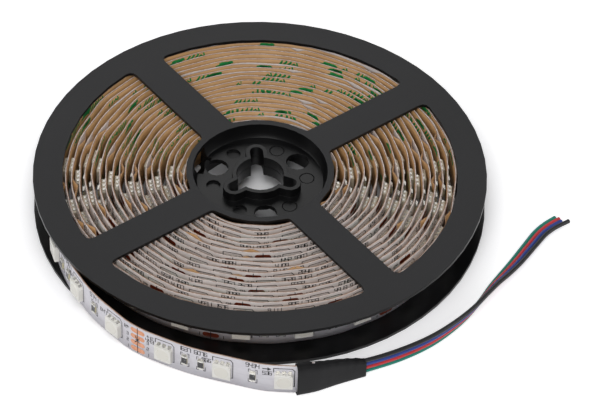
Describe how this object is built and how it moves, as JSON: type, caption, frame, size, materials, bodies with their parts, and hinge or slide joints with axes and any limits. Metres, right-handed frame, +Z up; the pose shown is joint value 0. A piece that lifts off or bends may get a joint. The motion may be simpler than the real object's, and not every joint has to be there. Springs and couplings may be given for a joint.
{
  "type": "led strip light reel",
  "caption": "Black spoked reel holding a wound flexible LED strip, whose free end runs out past the rim into a heat-shrink sleeve and a flat bundle of coloured lead wires.",
  "frame": {"origin": "bottom centre of the box of the reel with its strip, tail and sleeve, on the surface that it lies on", "axes": "+Z up along the reel's axis, +Y away from the free tail, +X towards the wires' ends"},
  "size_m": [0.1508, 0.1386, 0.0122],
  "materials": {
    "reel_plastic": "black injection-moulded styrene, satin faces, glossier inside",
    "solder_mask": "white solder mask on a flexible circuit, satin",
    "liner_paper": "tan kraft release liner with scattered green printed strokes",
    "led_package": "ivory moulded LED package with a clear round lens",
    "resistor_ceramic": "black chip resistor with tinned ends",
    "solder_alloy": "bright solder",
    "sleeve_polyolefin": "black heat-shrink tube",
    "vinyl_black": "black wire insulation",
    "vinyl_blue": "blue wire insulation",
    "vinyl_red": "red wire insulation",
    "vinyl_green": "green wire insulation"
  },
  "bodies": {
    "root": {"upper_reel_half": "reel_plastic", "lower_reel_half": "reel_plastic", "led_strip": "solder_mask", "release_liner": "liner_paper", "led_01": "led_package", "led_02": "led_package", "led_03": "led_package", "led_04": "led_package", "led_05": "led_package", "led_06": "led_package", "led_07": "led_package", "led_08": "led_package", "led_09": "led_package", "led_10": "led_package", "led_11": "led_package", "led_12": "led_package", "led_13": "led_package", "led_14": "led_package", "led_15": "led_package", "led_16": "led_package", "led_17": "led_package", "led_18": "led_package", "led_19": "led_package", "led_20": "led_package", "led_21": "led_package", "led_22": "led_package", "led_23": "led_package", "led_24": "led_package", "led_25": "led_package", "led_26": "led_package", "led_27": "led_package", "led_28": "led_package", "resistor_1": "resistor_ceramic", "resistor_2": "resistor_ceramic", "resistor_3": "resistor_ceramic", "resistor_4": "resistor_ceramic", "resistor_5": "resistor_ceramic", "resistor_6": "resistor_ceramic", "heat_shrink_sleeve": "sleeve_polyolefin", "solder_joint_1": "solder_alloy", "solder_joint_2": "solder_alloy", "solder_joint_3": "solder_alloy", "solder_joint_4": "solder_alloy", "wire_black": "vinyl_black", "wire_blue": "vinyl_blue", "wire_red": "vinyl_red", "wire_green": "vinyl_green"}
  },
  "joints": []
}
